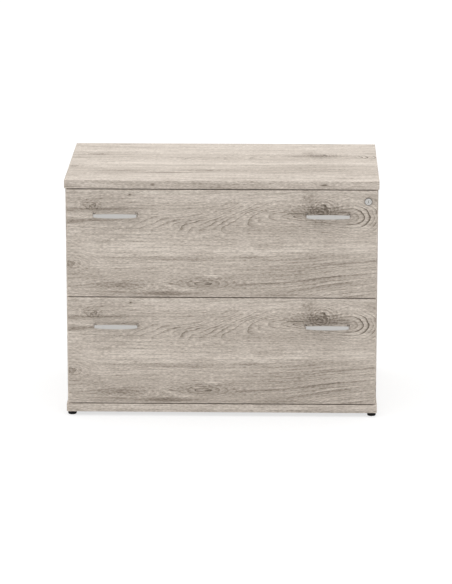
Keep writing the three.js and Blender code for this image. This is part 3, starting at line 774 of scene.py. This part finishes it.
for drawer in DRAWERS:
    carriers = {"outer": "cabinet", "middle": drawer + "_runner_middles", "inner": drawer + "_drawer"}
    for hand in HANDS:
        for member, body in carriers.items():
            node = f"{drawer}_{hand}_runner_{member}"
            low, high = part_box(node)
            web_left = (hand == "left") != (member == "inner")
            web, open_edge = (low.x, high.x) if web_left else (high.x, low.x)
            outward = math.copysign(1.0, open_edge - web)
            seat = web + outward * (STRIP_THICKNESS - SET_IN_WEB)
            height = (low.z + high.z) / 2
            grids = [channel_grid(low, high, web, open_edge)]
            if member == "middle":
                tip = seat + outward * STOP_REACH
                tab = side_outline(tip, seat, height - STOP_HALF, height + STOP_HALF, [])
                tab_front = low.y + STOP_SET_BACK
                grids.append(carried(tab, 1, tab_front, tab_front + STOP_LENGTH))
            if member == "inner":
                places = [low.y + share * (high.y - low.y) for share in SCREW_PLACES]
                grids += [screw_grid(seat, y, height, outward) for y in places]
            new_piece(skin_mesh(node + "_strip", grids), body, "zinc_steel", node, finishes=[zinc_steel])


# File rails, handle screws and lock works: steel with the same plating. The rails drop into slots of the
# drawer walls, and the lock bar runs in its groove behind two guides.
plated = ["lock_bar", "lock_actuator", "lock_nut"]
for drawer in DRAWERS:
    works = ("front_file_rail", "rear_file_rail", "lock_catch", "lock_tab", "bar_guide")
    plated += [f"{drawer}_{part}" for part in works]
    plated += [f"{drawer}_{hand}_handle_{end}_screw" for hand in HANDS for end in HANDS]
for node in plated:
    coat(node, zinc_steel)


# Drawer boxes: 12 mm walls and 8 mm bottoms of board faced in plain light grey melamine with a fine
# pearl texture, screwed and grooved together.
MELAMINE_LIGHT = (0.62, 0.62, 0.60, 1.0)
MELAMINE_DULL = (0.55, 0.55, 0.53, 1.0)
box_board, tree, shader, place = finish("grey melamine board")
wear(tree, shader, place, grain_size=1.5 * MM, mark_size=60 * MM, roughness=(0.42, 0.2),
     dents=(0.15, 0.1 * MM), clean=MELAMINE_LIGHT, worn=MELAMINE_DULL)
for drawer in DRAWERS:
    for wall in ("left_wall", "right_wall", "inner_front", "back_wall", "bottom"):
        coat(f"{drawer}_drawer_{wall}", box_board)


# Drawer fronts: 18 mm oak print board, banded all round, screwed to the boxes from inside. Both are cut
# at the same place of the print's repeat, so their figure is alike; the upper one is bored for the lock.
LOCK_BORE_RADIUS = 8.3 * MM
SHANK_BORE = 2.3 * MM
HEAD_BORE = 4.4 * MM
HEAD_DEPTH = 3.2 * MM
lock_centre = middle_of("lock_housing", 0, 2)


def screw_bores(handle, steps):
    """One bore for each of a handle's two screws."""
    return [bore_grid(middle_of(f"{handle}_{end}_screw", 0, 2), 1, *steps) for end in HANDS]


for drawer in DRAWERS:
    node = drawer + "_drawer_front"
    low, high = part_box(node)
    face = oak_finish(f"oak print on {drawer} front", (1, 0, 0), (0, 0, 1), start=(0, -low.z / MM))
    edging = oak_finish(f"oak edging on {drawer} front", (1, 0, 1), (0, 1, 0), start=(0, 600))
    board = banded_board(drawer + "_front_board", drawer + "_drawer", 1, face, edging, node)
    outside = low.y - BORE_FIT
    inside = high.y + BORE_FIT
    seat = high.y - HEAD_DEPTH
    screw_steps = [(outside, SHANK_BORE), (seat, SHANK_BORE), (seat, HEAD_BORE), (inside, HEAD_BORE)]
    bores = []
    for hand in HANDS:
        bores += screw_bores(f"{drawer}_{hand}_handle", screw_steps)
    if drawer == "upper":
        lock_steps = [(outside, LOCK_BORE_RADIUS), (inside, LOCK_BORE_RADIUS)]
        bores.append(bore_grid(lock_centre, 1, *lock_steps))
    drill(board, bores, raw_board)


# Bow handles: die-cast zinc, sprayed satin silver, two on each front, each held by two screws from
# behind. The grip is a flat bow, deepest in the middle, that turns back into a foot at each end.
HANDLE_HALF_SPAN = 64.0 * MM
HANDLE_MIDDLE_HALF = 6.9 * MM
HANDLE_END_HALF = 4.75 * MM
HANDLE_MIDDLE_RAISED = 0.3 * MM
HANDLE_END_RAISED = 0.9 * MM
HANDLE_GRIP_HALF = 2.5 * MM
HANDLE_FOOT_HALF = 4.5 * MM
BOW_POWER = 2 / 10.0
SECTION_POWER = 2 / 7.0
HANDLE_STATIONS = 121
HANDLE_COLUMNS = 40
SILVER = (0.535, 0.525, 0.508, 1.0)
SILVER_DULL = (0.475, 0.467, 0.452, 1.0)


def signed_power(value, power):
    """The value's size raised to a power, with its sign kept: the rule of a superellipse."""
    return np.sign(value) * np.abs(value) ** power


def handle_grid(middle, reach, wall):
    """A bow carried along half a superellipse from foot to foot. Its section is a superellipse too,
    square to the path: it grows taller towards the middle, more so downwards than upwards, and thicker
    towards the feet."""
    angle = np.linspace(0.0, np.pi, HANDLE_STATIONS)
    bow = reach - HANDLE_GRIP_HALF
    x = HANDLE_HALF_SPAN * signed_power(np.cos(angle), BOW_POWER)
    out = bow * signed_power(np.sin(angle), BOW_POWER)
    path = np.stack([x, out], 1)
    slope = np.gradient(path, axis=0)
    slope[0] = (0.0, 1.0)
    slope[-1] = (0.0, -1.0)
    slope /= np.linalg.norm(slope, axis=1, keepdims=True)
    belly = 1 - (x / HANDLE_HALF_SPAN) ** 2
    half_height = HANDLE_END_HALF + (HANDLE_MIDDLE_HALF - HANDLE_END_HALF) * belly
    raised = HANDLE_END_RAISED + (HANDLE_MIDDLE_RAISED - HANDLE_END_RAISED) * belly
    half_thick = HANDLE_GRIP_HALF + (HANDLE_FOOT_HALF - HANDLE_GRIP_HALF) * (1 - out / bow) ** 2
    turn = full_turn(HANDLE_COLUMNS)
    thick = half_thick[:, None] * signed_power(np.cos(turn), SECTION_POWER)
    up = raised[:, None] + half_height[:, None] * signed_power(np.sin(turn), SECTION_POWER)
    section_x = path[:, :1] + slope[:, 1:] * thick
    section_out = path[:, 1:] - slope[:, :1] * thick
    return np.stack([middle[0] + section_x, wall - section_out, middle[1] + up], axis=-1)


satin_silver, tree, shader, place = finish("satin silver spray", metallic=1.0)
wear(tree, shader, place, grain_size=0.4 * MM, mark_size=12 * MM, roughness=(0.26, 0.18),
     dents=(0.06, 0.05 * MM), clean=SILVER, worn=SILVER_DULL)

for drawer in DRAWERS:
    for hand in HANDS:
        node = f"{drawer}_{hand}_handle"
        low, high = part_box(node)
        mesh = skin_mesh(node + "_bow", [handle_grid(middle_of(node, 0, 2), high.y - low.y, high.y)])
        handle = new_piece(mesh, drawer + "_drawer", "satin_silver", node, finishes=[satin_silver])
        screw_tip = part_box(node + "_left_screw")[0].y
        steps = [(screw_tip - BORE_FIT, SHANK_BORE), (high.y + BORE_FIT, SHANK_BORE)]
        drill(handle, screw_bores(node, steps), satin_silver)


# Cylinder lock: a nickel plated die-cast housing with a flange, clamped in the upper front by its nut.
# The plug turns in it with the key and carries a disc with the pin that lifts the lock bar.
LOCK_COLUMNS = 96
BARREL_RADIUS = 8.0 * MM
FLANGE_HEIGHT = 2.4 * MM
FLANGE_ROUNDINGS = (0.9 * MM, 0.3 * MM)
PLUG_RADIUS = 6.3 * MM
PLUG_FACE = 1.0 * MM
PLUG_CLEARANCE = 0.3 * MM
PLUG_ROUNDINGS = (0.3 * MM, 0.2 * MM, 0.3 * MM)
KEYWAY_HALF = (0.9 * MM, 4.0 * MM)
KEYWAY_DEPTH = 10.0 * MM
KEYWAY_SHADE = 1.5 * MM
# Share of painted shade on the keyway walls, deep in the plug
KEYWAY_PAINTED_SHADE = 0.4
KEYWAY_MARGIN = 0.2
DISC_RADIUS = 8.0 * MM
DISC_THICKNESS = 2.0 * MM
PIN_RADIUS = 2.0 * MM
PIN_TIP_RADIUS = 0.5 * PIN_RADIUS
PIN_ROOT = 0.5 * MM
PIN_LENGTH = 6.0 * MM
PIN_ROUNDING = 0.4 * MM
PIN_THROW = 6.0 * MM
PIN_REST = -math.pi / 4
NEARLY_ZERO = 1e-9
NICKEL = (0.56, 0.55, 0.53, 1.0)
NICKEL_DULL = (0.42, 0.41, 0.40, 1.0)
# Dark colour of the painted shade round the flange rim and in the keyway
PAINTED_SHADE = (0.09, 0.08, 0.07, 1.0)
around = full_turn(LOCK_COLUMNS)
circle = np.stack([np.cos(around), np.sin(around)], 1)


def turned(profile):
    """One circle for each point of a profile of radius and depth."""
    return profile[:, :1, None] * circle


def lock_grid(outlines, depths, centre):
    """Outlines about an axis that runs back into the front, each set at its depth."""
    depth = np.broadcast_to(np.array(depths)[:, None], outlines.shape[:2])
    return np.stack([centre[0] + outlines[..., 0], depth, centre[1] + outlines[..., 1]], axis=-1)


# Nickel plate, with painted shade: the plate is darkened towards the rim of the flange, in the corner where
# it meets the front, and on the walls deep in the keyway; distances in millimetres
lock_low, lock_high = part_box("lock_housing")
lock_chrome, tree, shader, place = finish("nickel plate", metallic=1.0)
plate_colour = wear(
    tree, shader, place, grain_size=0.5 * MM, mark_size=5 * MM, roughness=(0.16, 0.2),
    dents=(0.05, 0.05 * MM), clean=NICKEL, worn=NICKEL_DULL)
from_centre = vector_calc(tree, "ADD", place, (-lock_centre[0], 0.0, -lock_centre[1]))[0]
from_axis = vector_calc(tree, "MULTIPLY", from_centre, (1 / MM, 0.0, 1 / MM))[0]
radius = vector_calc(tree, "LENGTH", from_axis)["Value"]
depth = add_node(tree, "ShaderNodeSeparateXYZ", {0: place}).outputs["Y"]
# Painted shade: darker with depth inside the keyway, and darker towards the outer rim of the flange
sinking = {0: depth, 1: lock_low.y, 2: lock_low.y + KEYWAY_SHADE}
sunk = add_node(tree, "ShaderNodeMapRange", sinking).outputs[0]
in_keyway = calc(tree, "LESS_THAN", radius, KEYWAY_HALF[1] / MM + KEYWAY_MARGIN)
keyway_painted_shade = calc(tree, "MULTIPLY", calc(tree, "MULTIPLY", sunk, in_keyway), KEYWAY_PAINTED_SHADE)
painted_shade = calc(tree, "MAXIMUM", smooth_step(tree, radius, start=9.1, end=11.0), keyway_painted_shade)
lock_colour = add_node(tree, "ShaderNodeMix", {0: painted_shade, 6: plate_colour, 7: PAINTED_SHADE}, data_type="RGBA")
tree.links.new(lock_colour.outputs[2], shader.inputs["Base Color"])

bore_radius = PLUG_RADIUS + PLUG_CLEARANCE
flange_radius = (lock_high.x - lock_low.x) / 2
flange_back = lock_low.y + FLANGE_HEIGHT
flange_profile = rounded_profile(
    [(bore_radius, lock_low.y), (flange_radius, lock_low.y), (flange_radius, flange_back),
     (BARREL_RADIUS, flange_back)], FLANGE_ROUNDINGS)
barrel_profile = [(BARREL_RADIUS, lock_high.y), (bore_radius, lock_high.y)]
housing_profile = np.concatenate([flange_profile, barrel_profile])
housing_grid = lock_grid(turned(housing_profile), housing_profile[:, 1], lock_centre)
housing_mesh = skin_mesh("lock_flange", [housing_grid], ring=True)
new_piece(housing_mesh, "upper_drawer", "lock_chrome", "lock_housing", finishes=[lock_chrome])

keyway = (KEYWAY_HALF / np.maximum(np.abs(circle), NEARLY_ZERO)).min(axis=1)[:, None] * circle
disc_front = lock_high.y + PLUG_CLEARANCE
disc_back = disc_front + DISC_THICKNESS
plug_profile = rounded_profile(
    [(PLUG_RADIUS - PLUG_FACE, lock_low.y), (PLUG_RADIUS, lock_low.y), (PLUG_RADIUS, disc_front),
     (DISC_RADIUS, disc_front), (DISC_RADIUS, disc_back)], PLUG_ROUNDINGS)
plug_outlines = np.concatenate([[keyway, keyway], turned(plug_profile)])
plug_depths = [lock_low.y + KEYWAY_DEPTH, lock_low.y, *plug_profile[:, 1]]
pin_back = disc_back + PIN_LENGTH
pin_profile = rounded_profile(
    [(PIN_RADIUS, disc_back - PIN_ROOT), (PIN_RADIUS, pin_back), (PIN_TIP_RADIUS, pin_back)], [PIN_ROUNDING])
pin_x = lock_centre[0] + PIN_THROW * math.cos(PIN_REST)
pin_z = lock_centre[1] + PIN_THROW * math.sin(PIN_REST)
plug_grids = [lock_grid(plug_outlines, plug_depths, lock_centre),
              lock_grid(turned(pin_profile), pin_profile[:, 1], (pin_x, pin_z))]
new_piece(skin_mesh("lock_core", plug_grids), "lock_plug", "lock_chrome", "lock_plug", finishes=[lock_chrome])


# Floor: a wide plain white sheet under the cabinet. It keeps the cabinet's soft shadow, and is whitened
# only for the camera and for what polished metal mirrors.
FLOOR_HALF = 80.0
FLOOR_PALE = 0.84
FLOOR_SEEN_WHITE = 0.62


def seen(tree):
    """1 for rays from the camera, mirrored by metal or let through by glass, and 0 for rays of light."""
    path = add_node(tree, "ShaderNodeLightPath").outputs
    straight = calc(tree, "MAXIMUM", path["Is Camera Ray"], path["Is Glossy Ray"])
    return calc(tree, "MAXIMUM", straight, path["Is Transmission Ray"])


floor_mesh = bpy.data.meshes.new("floor")
floor_corners = FLOOR_HALF * np.array([(-1, -1, 0), (1, -1, 0), (1, 1, 0), (-1, 1, 0)])
floor_mesh.from_pydata(floor_corners.tolist(), [], [(0, 1, 2, 3)])
floor = new_object("floor", floor_mesh)
floor_white, tree, shader, place = finish("white floor")
shader.inputs["Base Color"].default_value = (FLOOR_PALE, FLOOR_PALE, FLOOR_PALE, 1.0)
shader.inputs["Roughness"].default_value = 1.0
shader.inputs["Specular IOR Level"].default_value = 0.0
seen_white = add_node(tree, "ShaderNodeEmission", {"Strength": 1.12}).outputs[0]
seen_share = calc(tree, "MULTIPLY", seen(tree), FLOOR_SEEN_WHITE)
floor_shade = add_node(tree, "ShaderNodeMixShader", {0: seen_share, 1: shader.outputs[0], 2: seen_white})
tree.links.new(floor_shade.outputs[0], tree.nodes["Material Output"].inputs["Surface"])
floor_mesh.materials.append(floor_white)


# Light: a white dome, dim at the horizon and bright overhead, that the camera and polished metal see as
# an even white, and one wide soft lamp overhead, a little to the front.
DOME_HORIZON = 0.165
DOME_OVERHEAD = 1.15
world = bpy.data.worlds.new("white studio")
bpy.context.scene.world = world
world.use_nodes = True
tree = world.node_tree
heading = add_node(tree, "ShaderNodeTexCoord").outputs["Generated"]
upward = add_node(tree, "ShaderNodeSeparateXYZ", {0: heading}).outputs["Z"]
dome = calc(tree, "MULTIPLY_ADD", calc(tree, "MAXIMUM", upward, 0.0), DOME_OVERHEAD, DOME_HORIZON)
brightness = add_node(tree, "ShaderNodeMix", {0: seen(tree), 2: dome, 3: 1.0}).outputs[0]
tree.links.new(brightness, tree.nodes["Background"].inputs["Strength"])
tree.nodes["Background"].inputs["Color"].default_value = (1.0, 1.0, 1.0, 1.0)
lamp_data = bpy.data.lights.new("overhead lamp", "SUN")
lamp_data.energy = 0.9
lamp_data.angle = math.radians(90)
lamp = new_object("overhead lamp", lamp_data)
lamp.rotation_euler = (math.radians(10), math.radians(-6), 0.0)
bpy.context.scene.view_settings.view_transform = "Standard"


# Camera: a long lens a little right of the middle, looking slightly down. Its place and turn were fitted
# to the cabinet's edges in the photograph.
CAMERA_DOWN = math.radians(14.1554)
CAMERA_LEFT = math.radians(1.2541)
camera_data = bpy.data.cameras.new("camera")
camera_data.lens = 191.92
camera_data.sensor_width = 36.0
camera = new_object("camera", camera_data)
camera.location = (0.2116, -9.3273, 2.6751)
camera.rotation_euler = (math.pi / 2 - CAMERA_DOWN, 0.0, CAMERA_LEFT)
bpy.context.scene.camera = camera
